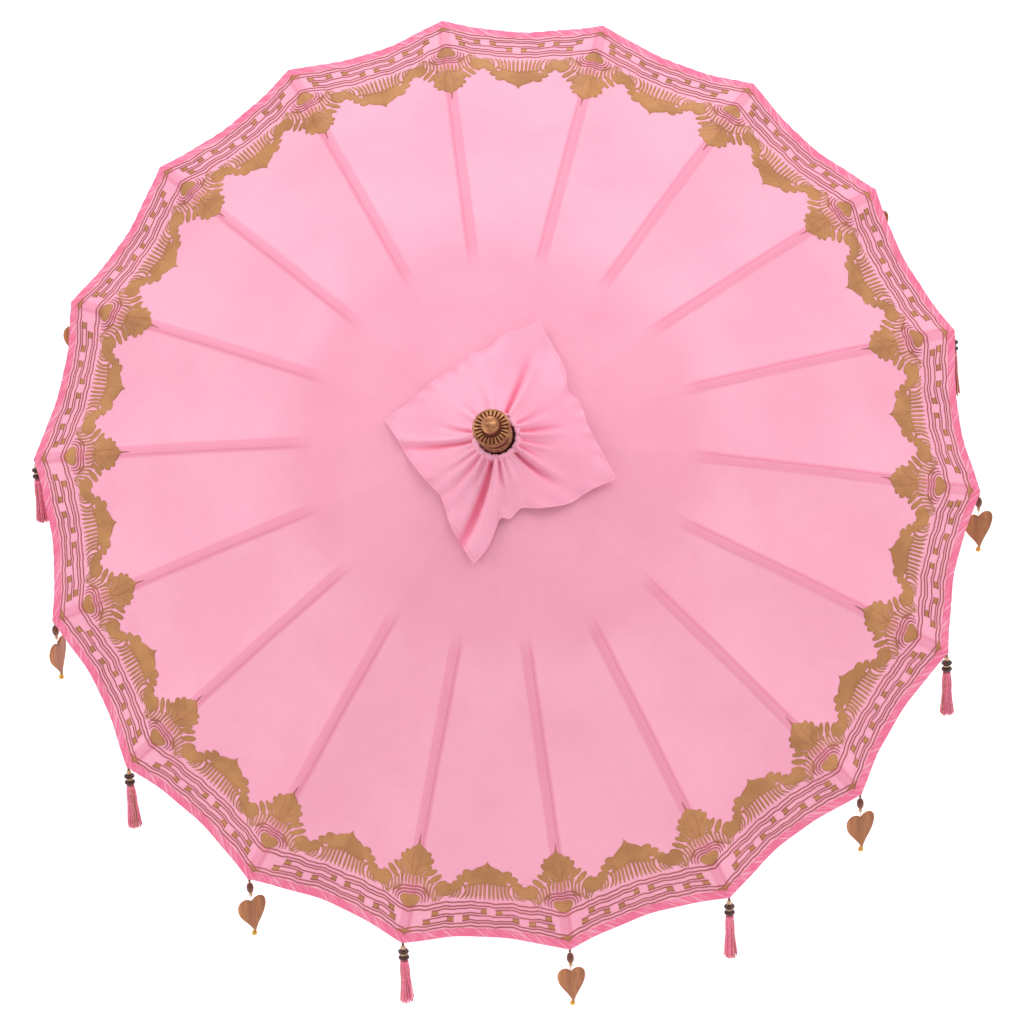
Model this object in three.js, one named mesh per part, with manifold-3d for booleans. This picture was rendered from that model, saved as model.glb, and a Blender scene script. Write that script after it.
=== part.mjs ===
// A hand-painted garden parasol with eighteen ribs, stored open and leaning on the foot of its pole,
// so that the tassels and wooden hearts at its rib tips hang straight down.
//
// Lengths are millimetres and angles are degrees. Inside the leaning group the pole runs along +Z from
// its foot at the origin, and heights are measured from the foot. Outside it, +Z is up.
import * as THREE from 'three';
import { mergeVertices } from 'three/addons/utils/BufferGeometryUtils.js';
import Module from 'manifold-3d';

const wasm = await Module();
wasm.setup();

// The whole parasol.
const POLE_LEAN = 32; // angle of the pole above the horizontal
const RIB_COUNT = 18;
const FIRST_RIB = 95.2; // direction of rib 1 about the pole, counter-clockwise from +X
const RIM_RADIUS = 1000; // pole axis to the tip of a rib
const HINGE_HEIGHT = 2330; // foot of the pole to the ribs' hinges
const GAP = 0.3; // air between pieces that touch

// The frame.
const POLE_RADIUS = 19;
const HINGE_RADIUS = 42; // pole axis to the hinge wires of the crown and of the runner
const HUB_RADIUS = 56;
const HUB_CORE_RADIUS = 33.3; // the slots of both hubs stop here
const HUB_BORE_RADIUS = 19.6;
const SLOT_WIDTH = 7;
const TONGUE_WIDTH = 6;
const RIB_WIDTH = 13;
const RIB_DEPTH = 16;
const HUB_SLOPE = 17; // how steeply a rib falls at the crown
const TIP_SLOPE = 36; // and at its tip
const TONGUE_LENGTH = 62; // hinge to where a rib takes its full width
const STRETCHER_LENGTH = 420; // pivot to pivot, and crown hinge to the same pivot on the rib
const STRETCHER_DEPTH = 14;
const MORTISE_INNER = 21; // the slot through a rib, from its stretcher pivot towards the crown
const MORTISE_OUTER = 60; // and towards the tip

// The cloth and the trim.
const CLOTH = 2; // thickness of the canopy's solid
const CLOTH_GAP = 3; // rib's upper face to the canopy
const RIM_SAG = 20; // how far the hem pulls in between two rib tips
const PANEL_SAG = 14; // how far the cloth sinks between two ribs
const CAP_SIDE = 345; // the square top cap
const CAP_TURN = 72.7; // direction of one of its corners about the pole
const COLLAR_RADIUS = 45;
const PENDANT_OFFSET = 6; // rib's end to the thread of its pendant
const HEART_THICKNESS = 5;

const rad = THREE.MathUtils.degToRad;
const cosd = (angle) => Math.cos(rad(angle));
const sind = (angle) => Math.sin(rad(angle));

// A rib's centre line is an arc in the plane of the pole: radius and height about the crown hinge.
const ARC_RADIUS = (RIM_RADIUS - HINGE_RADIUS) / (sind(TIP_SLOPE) - sind(HUB_SLOPE));
const ARC_X = HINGE_RADIUS - ARC_RADIUS * sind(HUB_SLOPE);
const ARC_Z = -ARC_RADIUS * cosd(HUB_SLOPE);
const PIVOT_TURN = 2 * THREE.MathUtils.radToDeg(Math.asin(STRETCHER_LENGTH / (2 * ARC_RADIUS)));
const PIVOT_SLOPE = HUB_SLOPE + PIVOT_TURN;
const STRETCHER_RISE = HUB_SLOPE + PIVOT_TURN / 2; // it rises as steeply as the rib's chord falls
const RUNNER_DROP = 2 * STRETCHER_LENGTH * sind(STRETCHER_RISE);

const materials = {
  poleWood: { color: 0x8a5a35, roughness: 0.55, metalness: 0 },
  ribWood: { color: 0xc99a63, roughness: 0.6, metalness: 0 },
  gilt: { color: 0x8f6a35, roughness: 0.4, metalness: 0.5 },
  cloth: { color: 0xf7a3c2, roughness: 0.85, metalness: 0 },
  capCloth: { color: 0xf98db4, roughness: 0.85, metalness: 0 },
  yarn: { color: 0xe8668f, roughness: 0.95, metalness: 0 },
  heartWood: { color: 0xa5733f, roughness: 0.5, metalness: 0 },
};

function named(name, geometry, material) {
  const mesh = new THREE.Mesh(geometry, new THREE.MeshStandardMaterial(materials[material]));
  mesh.name = name;
  return mesh;
}

function toSolid(geometry) {
  const bare = geometry.clone();
  bare.deleteAttribute('normal');
  bare.deleteAttribute('uv');
  const merged = mergeVertices(bare, 1e-4);
  const vertProperties = new Float32Array(merged.attributes.position.array);
  const triVerts = new Uint32Array(merged.index.array);
  return new wasm.Manifold(new wasm.Mesh({ numProp: 3, vertProperties, triVerts }));
}

function toGeometry(solid) {
  const mesh = solid.getMesh();
  const geometry = new THREE.BufferGeometry();
  geometry.setAttribute('position', new THREE.BufferAttribute(mesh.vertProperties, 3));
  geometry.setIndex(new THREE.BufferAttribute(mesh.triVerts, 1));
  geometry.computeVertexNormals();
  return geometry;
}

// A plate whose outline is drawn in radius and height, as thick as said across the rib's plane.
function uprightPlate(shape, thickness, curveSegments) {
  const plate = new THREE.ExtrudeGeometry(shape, { depth: thickness, bevelEnabled: false, curveSegments });
  plate.translate(0, 0, -thickness / 2);
  plate.rotateX(Math.PI / 2);
  return plate;
}

function turned(points, segments) {
  return new THREE.LatheGeometry(points.map(([r, z]) => new THREE.Vector2(r, z)), segments).rotateX(Math.PI / 2);
}

// A point of the rib's side view: the slope there, and the distance above the centre line.
function onArc(slope, above) {
  const radius = ARC_RADIUS + above;
  return new THREE.Vector2(ARC_X + radius * sind(slope), ARC_Z + radius * cosd(slope));
}

function ribOutline() {
  const start = HUB_SLOPE + THREE.MathUtils.radToDeg(TONGUE_LENGTH / ARC_RADIUS);
  const half = RIB_DEPTH / 2;
  const shape = new THREE.Shape();
  shape.absarc(ARC_X, ARC_Z, ARC_RADIUS + half, rad(90 - start), rad(90 - TIP_SLOPE), true);
  shape.absarc(ARC_X, ARC_Z, ARC_RADIUS - half, rad(90 - TIP_SLOPE), rad(90 - start), false);
  shape.closePath();
  return shape;
}

function tongueOutline() {
  const end = HUB_SLOPE + THREE.MathUtils.radToDeg((TONGUE_LENGTH + RIB_WIDTH) / ARC_RADIUS);
  const half = RIB_DEPTH / 2;
  const shape = new THREE.Shape();
  shape.absarc(HINGE_RADIUS, 0, half, rad(270 - HUB_SLOPE), rad(90 - HUB_SLOPE), true);
  const [above, below] = [onArc(end, half - 0.5), onArc(end, 0.5 - half)];
  shape.lineTo(above.x, above.y);
  shape.lineTo(below.x, below.y);
  shape.closePath();
  return shape;
}

function mortise() {
  const length = MORTISE_INNER + MORTISE_OUTER;
  const middle = (MORTISE_OUTER - MORTISE_INNER) / 2;
  const slot = new THREE.BoxGeometry(length, SLOT_WIDTH, 3 * RIB_DEPTH);
  slot.translate(middle, 0, 0);
  slot.rotateY(rad(PIVOT_SLOPE));
  const pivot = onArc(PIVOT_SLOPE, 0);
  slot.translate(pivot.x, 0, pivot.y);
  return slot;
}

function ribGeometry() {
  const blade = toSolid(uprightPlate(ribOutline(), RIB_WIDTH, 5));
  const tongue = toSolid(uprightPlate(tongueOutline(), TONGUE_WIDTH, 4));
  return toGeometry(blade.add(tongue).subtract(toSolid(mortise())));
}

function stretcherGeometry() {
  const half = STRETCHER_DEPTH / 2;
  const shape = new THREE.Shape();
  shape.absarc(0, 0, half, rad(90), rad(270), false);
  shape.absarc(STRETCHER_LENGTH, 0, half, rad(-90), rad(90), false);
  shape.closePath();
  const bar = uprightPlate(shape, TONGUE_WIDTH, 4);
  bar.rotateY(-rad(STRETCHER_RISE));
  bar.translate(HINGE_RADIUS, 0, -RUNNER_DROP);
  return bar;
}

// A hub with one slot for each rib or stretcher, open above and below and on its rim.
function slottedHub(profile, bottom, top) {
  let hub = toSolid(turned(profile, 2 * RIB_COUNT));
  const reach = HUB_RADIUS;
  for (let i = 0; i < RIB_COUNT; i += 1) {
    const slot = new THREE.BoxGeometry(reach, SLOT_WIDTH, top - bottom);
    slot.translate(HUB_CORE_RADIUS + reach / 2, 0, (top + bottom) / 2);
    slot.rotateZ(rad(FIRST_RIB - (i * 360) / RIB_COUNT));
    hub = hub.subtract(toSolid(slot));
  }
  return toGeometry(hub);
}

function crownGeometry() {
  const [bottom, ceiling, top] = [-18, 9, 14];
  const profile = [
    [HUB_BORE_RADIUS, bottom],
    [HUB_RADIUS - 3, bottom],
    [HUB_RADIUS, bottom + 3],
    [HUB_RADIUS, ceiling - 2],
    [HUB_RADIUS - 6, top],
    [HUB_BORE_RADIUS, top],
    [HUB_BORE_RADIUS, bottom],
  ];
  return slottedHub(profile, bottom - 1, ceiling);
}

function runnerGeometry() {
  const [skirt, bottom, top] = [-74, -16, 16];
  const profile = [
    [HUB_BORE_RADIUS, skirt],
    [HUB_CORE_RADIUS - 5, skirt],
    [HUB_CORE_RADIUS - 1, skirt + 6],
    [HUB_CORE_RADIUS - 4, skirt + 24],
    [HUB_CORE_RADIUS - 1, bottom],
    [HUB_RADIUS - 3, bottom],
    [HUB_RADIUS, bottom + 3],
    [HUB_RADIUS, top - 3],
    [HUB_RADIUS - 3, top],
    [HUB_CORE_RADIUS - 2, top],
    [HUB_CORE_RADIUS - 4, top + 8],
    [HUB_BORE_RADIUS, top + 8],
    [HUB_BORE_RADIUS, skirt],
  ];
  return slottedHub(profile, bottom - 1, top + 1);
}

function poleGeometry() {
  const top = HINGE_HEIGHT + 24;
  return turned([[0, 0], [POLE_RADIUS - 1, 0], [POLE_RADIUS, 1], [POLE_RADIUS, top], [0, top]], 32);
}

// The finial stands on the pole, inside the cloth collar. Heights are above the crown hinge.
function finialGeometry() {
  const base = 24 + GAP;
  const profile = [
    [0, base], [31, base], [34, 30], [34, 38], [27, 46], [16, 55], [14, 64], [20, 72], [20, 78], [13, 86],
    [14, 98], [24, 116], [31, 128], [33, 134], [37, 138], [38, 143], [35, 148], [20, 150],
    [13, 153], [11, 160], [15, 168], [17, 178], [15, 188], [9, 195], [0, 198],
  ];
  return turned(profile, 24);
}

// The canopy's lower face over a rib, outside the crown.
function domePoint(slope) {
  return onArc(slope, RIB_DEPTH / 2 + CLOTH_GAP);
}

// Closes a sheet, given as rings of points from the inside out, with a second face above it.
function thickRings(rings, thickness) {
  const count = rings[0].length;
  const position = [];
  for (const level of [0, thickness]) {
    for (const ring of rings) {
      for (const point of ring) position.push(point.x, point.y, point.z + level);
    }
  }
  const at = (level, ring, i) => (level * rings.length + ring) * count + (i % count);
  const index = [];
  const quad = (a, b, c, d) => index.push(a, b, c, a, c, d);
  for (let i = 0; i < count; i += 1) {
    for (let ring = 0; ring + 1 < rings.length; ring += 1) {
      quad(at(1, ring, i), at(1, ring + 1, i), at(1, ring + 1, i + 1), at(1, ring, i + 1));
      quad(at(0, ring, i), at(0, ring, i + 1), at(0, ring + 1, i + 1), at(0, ring + 1, i));
    }
    const last = rings.length - 1;
    quad(at(0, last, i), at(0, last, i + 1), at(1, last, i + 1), at(1, last, i));
    quad(at(0, 0, i + 1), at(0, 0, i), at(1, 0, i), at(1, 0, i + 1));
  }
  const geometry = new THREE.BufferGeometry();
  geometry.setAttribute('position', new THREE.Float32BufferAttribute(position, 3));
  geometry.setIndex(index);
  geometry.computeVertexNormals();
  return geometry;
}

// How far the cloth is from its ribs, from 0 on a rib to 1 half-way to the next.
function betweenRibs(i, perPanel) {
  return Math.sin((Math.PI * (i % perPanel)) / perPanel);
}

function canopyGeometry() {
  const perPanel = 2;
  const count = RIB_COUNT * perPanel;
  const overCrown = [[24, 15.5], [53, 15], [80, 5]]; // radius and height where the cloth crosses the crown
  const steps = [0.08, 0.2, 0.32, 0.44, 0.55, 0.67, 0.78, 0.89, 1]; // and then along the ribs, from the crown to the rim
  const rings = [...overCrown, ...steps].map(() => []);
  for (let i = 0; i < count; i += 1) {
    const around = rad(FIRST_RIB + (i * 360) / count);
    const slack = betweenRibs(i, perPanel);
    const ring = (radius, height) => new THREE.Vector3(radius * Math.cos(around), radius * Math.sin(around), height);
    overCrown.forEach(([radius, height], n) => rings[n].push(ring(radius, height)));
    steps.forEach((step, n) => {
      const point = domePoint(HUB_SLOPE + (TIP_SLOPE - HUB_SLOPE) * step);
      const away = (i % perPanel) / perPanel - 0.5;
      const chord = cosd(180 / RIB_COUNT) / cosd((360 / RIB_COUNT) * away);
      const inward = RIM_SAG * slack * step ** 4;
      rings[n + overCrown.length].push(ring(point.x * chord - inward, point.y - PANEL_SAG * slack * Math.sin(Math.PI * step ** 1.5)));
    });
  }
  return thickRings(rings, CLOTH);
}

function capGeometry() {
  const count = 40;
  const stages = [
    { out: 0, height: 54 },
    { out: 0.01, height: 34 },
    { out: 0.08, height: 27 },
    { out: 0.35 },
    { out: 0.68 },
    { out: 1 },
  ];
  const rings = stages.map(() => []);
  for (let i = 0; i < count; i += 1) {
    const turn = 45 + (i * 360) / count;
    const edge = CAP_SIDE / 2 / Math.max(Math.abs(cosd(turn)), Math.abs(sind(turn)));
    const around = rad(CAP_TURN - 45 + turn);
    stages.forEach(({ out, height }, n) => {
      const radius = COLLAR_RADIUS + (edge - COLLAR_RADIUS) * out;
      const sine = sind(HUB_SLOPE) + (radius - HINGE_RADIUS) / ARC_RADIUS;
      const dome = ARC_Z + ARC_RADIUS * Math.sqrt(1 - sine * sine) + RIB_DEPTH / 2 + CLOTH_GAP + CLOTH;
      const level = height ?? dome + 9 + 6 * out;
      rings[n].push(new THREE.Vector3(radius * Math.cos(around), radius * Math.sin(around), level));
    });
  }
  return thickRings(rings, 3);
}

// Pendants hang from their own origin, down -Z.
function tasselGeometry() {
  const profile = [
    [0, -138], [15, -136], [15, -112], [10, -72], [6, -46], [12, -40], [12, -22], [3, -18], [1.5, -14], [1.5, -1], [0, -1],
  ];
  return turned(profile, 10);
}

function heartOutline() {
  const [shoulder, notch, point, half] = [-57, -64, -130, 30];
  const shape = new THREE.Shape();
  shape.moveTo(0, point);
  shape.bezierCurveTo(10, point + 18, half + 2, point + 34, half, shoulder - 14);
  shape.bezierCurveTo(half - 2, shoulder + 3, 6, shoulder + 4, 0, notch);
  shape.bezierCurveTo(-6, shoulder + 4, 2 - half, shoulder + 3, -half, shoulder - 14);
  shape.bezierCurveTo(-half - 2, point + 34, -10, point + 18, 0, point);
  return shape;
}

function heartGeometry() {
  const string = [
    [0, -66], [1.8, -66], [1.8, -34], [8, -30], [8, -18], [3, -14], [1.5, -12], [1.5, -1], [0, -1],
  ];
  const bell = [[0, -137], [4, -135], [4, -129], [0, -127]];
  const plate = toSolid(uprightPlate(heartOutline(), HEART_THICKNESS, 5));
  return toGeometry(plate.add(toSolid(turned(string, 8))).add(toSolid(turned(bell, 8))));
}

const label = (i) => String(i + 1).padStart(2, '0');
const ribDirection = (i) => rad(FIRST_RIB - (i * 360) / RIB_COUNT);

function leaningFrame() {
  const frame = new THREE.Group();
  frame.rotation.x = rad(90 - POLE_LEAN);
  frame.add(named('pole', poleGeometry(), 'poleWood'));
  const head = new THREE.Group();
  head.position.z = HINGE_HEIGHT;
  frame.add(head);
  head.add(named('crown', crownGeometry(), 'poleWood'));
  head.add(named('finial', finialGeometry(), 'gilt'));
  head.add(named('canopy', canopyGeometry(), 'cloth'));
  head.add(named('top_cap', capGeometry(), 'capCloth'));
  const runner = named('runner', runnerGeometry(), 'poleWood');
  runner.position.z = -RUNNER_DROP;
  head.add(runner);
  const [rib, stretcher] = [ribGeometry(), stretcherGeometry()];
  for (let i = 0; i < RIB_COUNT; i += 1) {
    const spoke = new THREE.Group();
    spoke.rotation.z = ribDirection(i);
    spoke.add(named(`rib_${label(i)}`, rib, 'ribWood'));
    spoke.add(named(`stretcher_${label(i)}`, stretcher, 'ribWood'));
    head.add(spoke);
  }
  return frame;
}

// Where the thread of pendant i is tied, in the upright room.
function pendantAnchor(i) {
  const tip = onArc(TIP_SLOPE, 0);
  const out = tip.x + PENDANT_OFFSET * cosd(TIP_SLOPE);
  const height = HINGE_HEIGHT + tip.y - PENDANT_OFFSET * sind(TIP_SLOPE);
  const around = ribDirection(i);
  const anchor = new THREE.Vector3(out * Math.cos(around), out * Math.sin(around), height);
  return anchor.applyAxisAngle(new THREE.Vector3(1, 0, 0), rad(90 - POLE_LEAN));
}

// Threads twist, so each heart faces its own way: one is nearly edge on.
function heartYaw(i) {
  return i === 13 ? rad(62) : rad(14 * Math.sin(1.9 * i));
}

function pendants() {
  const group = new THREE.Group();
  const [tassel, heart] = [tasselGeometry(), heartGeometry()];
  for (let i = 0; i < RIB_COUNT; i += 1) {
    const isHeart = i % 2 === 1;
    const name = isHeart ? `heart_pendant_${label(i)}` : `tassel_pendant_${label(i)}`;
    const pendant = named(name, isHeart ? heart : tassel, isHeart ? 'heartWood' : 'yarn');
    pendant.position.copy(pendantAnchor(i));
    if (isHeart) pendant.rotation.z = heartYaw(i);
    group.add(pendant);
  }
  return group;
}

const parasol = new THREE.Group();
parasol.add(leaningFrame(), pendants());

export default parasol;
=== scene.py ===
"""A hand-painted garden parasol: eighteen ribs, pink cotton, a gold border, tassels and wooden hearts."""
import random
from math import cos, exp, hypot, pi, radians, sin, sqrt

import bpy
import numpy as np
from mathutils import Matrix, Vector
from mathutils.geometry import delaunay_2d_cdt


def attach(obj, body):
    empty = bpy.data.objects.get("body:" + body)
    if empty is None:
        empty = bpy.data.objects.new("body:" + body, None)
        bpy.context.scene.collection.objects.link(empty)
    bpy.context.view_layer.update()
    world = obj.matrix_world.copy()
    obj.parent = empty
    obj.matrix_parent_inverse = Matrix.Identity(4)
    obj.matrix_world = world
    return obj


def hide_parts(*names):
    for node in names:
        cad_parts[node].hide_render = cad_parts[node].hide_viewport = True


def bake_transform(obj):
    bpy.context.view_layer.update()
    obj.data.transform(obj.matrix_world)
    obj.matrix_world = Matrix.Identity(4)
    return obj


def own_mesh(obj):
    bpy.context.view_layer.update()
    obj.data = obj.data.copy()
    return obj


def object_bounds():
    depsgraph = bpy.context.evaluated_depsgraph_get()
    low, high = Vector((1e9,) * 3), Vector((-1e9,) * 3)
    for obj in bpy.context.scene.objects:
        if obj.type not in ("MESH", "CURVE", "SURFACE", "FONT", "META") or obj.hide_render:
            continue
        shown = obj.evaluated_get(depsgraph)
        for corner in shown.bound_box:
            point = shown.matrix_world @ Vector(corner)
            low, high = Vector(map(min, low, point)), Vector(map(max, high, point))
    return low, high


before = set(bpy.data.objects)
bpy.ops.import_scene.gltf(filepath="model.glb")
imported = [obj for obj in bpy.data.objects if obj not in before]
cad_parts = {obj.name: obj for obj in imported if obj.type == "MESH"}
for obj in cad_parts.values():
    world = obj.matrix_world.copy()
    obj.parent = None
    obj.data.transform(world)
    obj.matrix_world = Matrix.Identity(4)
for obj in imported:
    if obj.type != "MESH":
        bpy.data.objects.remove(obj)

cad_low, cad_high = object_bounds()
rng = random.Random(18)

# ---- The parasol's frame: metres, the pole along AXIS, heights from the crown hinge ----

LEAN = radians(32)
AXIS = Vector((0, -cos(LEAN), sin(LEAN)))
RISE = Vector((0, sin(LEAN), cos(LEAN)))
SIDE = Vector((1, 0, 0))
BASIS = np.array([SIDE, RISE, AXIS])  # rows: where the parasol's own x, y and z point

RIBS = 18
FIRST_RIB = radians(95.2)
HINGE_HEIGHT = 2.330
HINGE_RADIUS = 0.042
HUB_SLOPE, TIP_SLOPE = radians(17), radians(36)
ARC_RADIUS = (1.0 - HINGE_RADIUS) / (sin(TIP_SLOPE) - sin(HUB_SLOPE))
ARC_X = HINGE_RADIUS - ARC_RADIUS * sin(HUB_SLOPE)
ARC_Z = -ARC_RADIUS * cos(HUB_SLOPE)
CLOTH_ABOVE = 0.0125  # outer face of the cloth, above a rib's centre line
RIB_ARC = (ARC_RADIUS + CLOTH_ABOVE) * (TIP_SLOPE - HUB_SLOPE)
RIM_SAG, PANEL_SAG = 0.020, 0.014
HEM_RIPPLE, RIM_UNEVEN, PANEL_WAVE, TAPE_LIFT = 0.0021, 0.0014, 0.0009, 0.0006
CROWN_LIFT = 0.009
HALF_PANEL = pi / RIBS
RUNNER_DROP = 0.2971
PIVOT_SLOPE = radians(24.43)
CLOTH = 0.0008

INNER_ZONE = 0.66  # distance from the rim where the second layer of cloth ends


def label(i):
    return f"{i + 1:02d}"


def rib_turn(i):
    return FIRST_RIB - 2 * HALF_PANEL * i


def rib_side(i):
    """The direction across rib i."""
    return np.array([-sin(rib_turn(i)), cos(rib_turn(i)), 0])


def rib_point(i, slope):
    """The point of rib i's centre line where it slopes so far down."""
    return polar(ARC_X + ARC_RADIUS * sin(slope), rib_turn(i), ARC_Z + ARC_RADIUS * cos(slope))[0]


def to_world(points, height=HINGE_HEIGHT):
    """Points given about the crown hinge in the parasol's own frame, moved into the row frame."""
    points = np.asarray(points, float).reshape(-1, 3) + (0, 0, height)
    return points @ BASIS


def polar(radius, turn, height):
    radius, turn, height = np.broadcast_arrays(radius, turn, height)
    return np.stack([radius * np.cos(turn), radius * np.sin(turn), height], -1).reshape(-1, 3)


def soft_step(t):
    t = np.clip(t, 0, 1)
    return t * t * (3 - 2 * t)


def crown_rise(radius):
    """The crown lifts the cloth round the neck."""
    return CROWN_LIFT * soft_step((0.12 - radius) / 0.06)


def canopy_point(turn, inset, lift=0.0):
    """The canopy's outer face. inset is measured from the hem, along the cloth; lift moves off the face."""
    turn, inset = np.broadcast_arrays(np.asarray(turn, float), np.asarray(inset, float))
    step = 1 - inset / RIB_ARC
    slope = HUB_SLOPE + (TIP_SLOPE - HUB_SLOPE) * step
    reach = ARC_RADIUS + CLOTH_ABOVE + lift
    radius, height = ARC_X + reach * np.sin(slope), ARC_Z + reach * np.cos(slope)
    across = ((turn - FIRST_RIB) / (2 * HALF_PANEL)) % 1.0
    slack = np.sin(pi * across)
    chord = cos(HALF_PANEL) / np.cos(2 * HALF_PANEL * (across - 0.5))
    chord = 1 - (1 - chord) * soft_step((step - 0.25) / 0.35)
    rim = np.clip(step, 0, 1) ** 4
    sag = PANEL_SAG * slack * np.sin(pi * np.clip(step, 0, 1) ** 2.3)
    tension = PANEL_WAVE * slack * np.sin(9 * turn + 14 * inset)
    tension = tension * soft_step(step * 4) * soft_step(inset / 0.1)
    pucker = soft_step(1 - inset / 0.030)
    folds = 230 * turn + inset * 140 + 1.3 * np.sin(17 * turn) + 0.9 * np.sin(41 * turn)
    ripple = HEM_RIPPLE * pucker * np.sin(folds) * (0.25 + 0.75 * slack)
    uneven = RIM_UNEVEN * rim * (np.sin(25 * turn) + np.sin(43 * turn + 1)) * slack
    tape = TAPE_LIFT * soft_step((0.0125 - np.abs(rib_offset(turn, radius))) / 0.003)
    tape = tape * soft_step((0.68 - inset) / 0.04)
    height = height - sag + crown_rise(radius) + tension + ripple + tape
    return polar(radius * chord - RIM_SAG * slack * rim - uneven, turn, height)


def rib_offset(turn, radius):
    """How far a point lies from the nearest rib, across it."""
    near = (turn - FIRST_RIB + HALF_PANEL) % (2 * HALF_PANEL) - HALF_PANEL
    return radius * np.sin(near)


def canopy_normal(turn, inset):
    small = 1e-3
    a = canopy_point(turn + small, inset) - canopy_point(turn - small, inset)
    b = canopy_point(turn, inset - small) - canopy_point(turn, inset + small)
    normal = np.cross(b, a)
    return normal / np.linalg.norm(normal, axis=1, keepdims=True)


# ---- Materials ----

def linear(colour, shade=1.0):
    """A colour as three numbers from 0 to 255, darkened by shade, in the light that shaders use."""
    scaled = [c * shade for c in colour]
    return [((c / 255 + 0.055) / 1.055) ** 2.4 if c > 10 else c / 3295 for c in scaled] + [1.0]


class Nodes:
    """A material's node tree, with short ways to add to it."""

    def __init__(self, name, roughness=0.6, **sockets):
        self.material = bpy.data.materials.new(name)
        self.material.use_nodes = True
        self.tree = self.material.node_tree
        self.shader = self.tree.nodes["Principled BSDF"]
        self.shader.inputs["Roughness"].default_value = roughness
        self.place = self.coordinates("Object")
        for key, value in sockets.items():
            self.shader.inputs[key.replace("_", " ")].default_value = value

    def add(self, kind, **values):
        node = self.tree.nodes.new("ShaderNode" + kind)
        for key, value in values.items():
            if hasattr(node, key):
                setattr(node, key, value)
            else:
                self.give(node, key.replace("_", " "), value)
        return node

    def link(self, a, b):
        self.tree.links.new(a, b)

    def give(self, node, key, value):
        """Links a socket to one of the node's inputs, or sets a plain value there."""
        if isinstance(value, bpy.types.NodeSocket):
            self.link(value, node.inputs[key])
        else:
            node.inputs[key].default_value = value

    def coordinates(self, kind="Object"):
        return self.add("TexCoord").outputs[kind]

    def stretched(self, source, scale, turn=(0, 0, 0)):
        return self.add("Mapping", Vector=source, Scale=scale, Rotation=turn).outputs[0]

    def noise(self, source, scale, detail=4.0, rough=0.55):
        return self.add("TexNoise", Vector=source, Scale=scale, Detail=detail, Roughness=rough).outputs["Fac"]

    def maths(self, operation, *values):
        node = self.add("Math", operation=operation)
        for n, value in enumerate(values):
            self.give(node, n, value)
        return node.outputs[0]

    def times(self, a, b):
        return self.maths("MULTIPLY", a, b)

    def plus(self, a, b):
        return self.maths("ADD", a, b)

    def minus(self, a, b):
        return self.maths("SUBTRACT", a, b)

    def between(self, value, low, high):
        """0 below low, 1 above high and smooth between; low may be above high."""
        node = self.add("MapRange", interpolation_type="SMOOTHSTEP", Value=value)
        if low < high:
            ends = (low, high, 0.0, 1.0)
        else:
            ends = (high, low, 1.0, 0.0)
        for name, end in zip(("From Min", "From Max", "To Min", "To Max"), ends):
            node.inputs[name].default_value = end
        return node.outputs[0]

    def mixed(self, share, a, b):
        node = self.add("Mix", data_type="RGBA")
        for index, value in ((0, share), (6, a), (7, b)):
            self.give(node, index, value)
        return node.outputs[2]

    def tinted(self, colour, target, value, low, high, strength):
        """The colour drawn towards target by strength, where value is past high."""
        return self.mixed(self.times(self.between(value, low, high), strength), colour, target)

    def mottled(self, value, low, high, light, dark):
        return self.mixed(self.between(value, low, high), linear(light), linear(dark))

    def ranged(self, value, low, high):
        """A value from 0 to 1, moved into low to high."""
        return self.add("MapRange", Value=value, To_Min=low, To_Max=high).outputs[0]

    def bump(self, height, strength, distance, after=None):
        node = self.add("Bump", Height=height, Strength=strength, Distance=distance)
        if after:
            self.link(after, node.inputs["Normal"])
        return node.outputs[0]

    def finish(self, colour, normal=None, rough=None):
        for key, value in (("Base Color", colour), ("Normal", normal), ("Roughness", rough)):
            if value:
                self.link(value, self.shader.inputs[key])
        return self.material

    def see_light_through(self, colour, share):
        """Thin cloth: part of what falls on the far side shows."""
        through = self.add("BsdfTranslucent")
        self.link(colour, through.inputs["Color"])
        mix = self.add("MixShader", Fac=share)
        self.link(self.shader.outputs[0], mix.inputs[1])
        self.link(through.outputs[0], mix.inputs[2])
        self.link(mix.outputs[0], self.tree.nodes["Material Output"].inputs["Surface"])


THREAD = 0.0011  # two threads of the cotton
SEE_THROUGH = 0.07
HEM, CAP_HEM = 0.023, 0.009
TAPE_HALF = 0.0068  # from the rib's middle to its seam
HEM_FOLD_HIGHLIGHT = {True: 0.40, False: 0.05}  # painted highlight on the hem's folds, strong on cloth with painted rib shade and faint without


def weave(m, uv):
    """Plain weave: warp and weft take turns on top. Also returns uneven thread colour."""
    parts = m.add("SeparateXYZ", Vector=uv)
    turn = 2 * pi / THREAD
    warp = m.maths("SINE", m.times(parts.outputs[0], turn))
    weft = m.maths("SINE", m.times(parts.outputs[1], turn))
    height = m.times(warp, weft)
    slub_x = m.noise(m.stretched(uv, (900, 14, 1)), 1.0, 2.0)
    slub_y = m.noise(m.stretched(uv, (14, 900, 1)), 1.0, 2.0)
    return height, m.plus(slub_x, slub_y), parts


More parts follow.
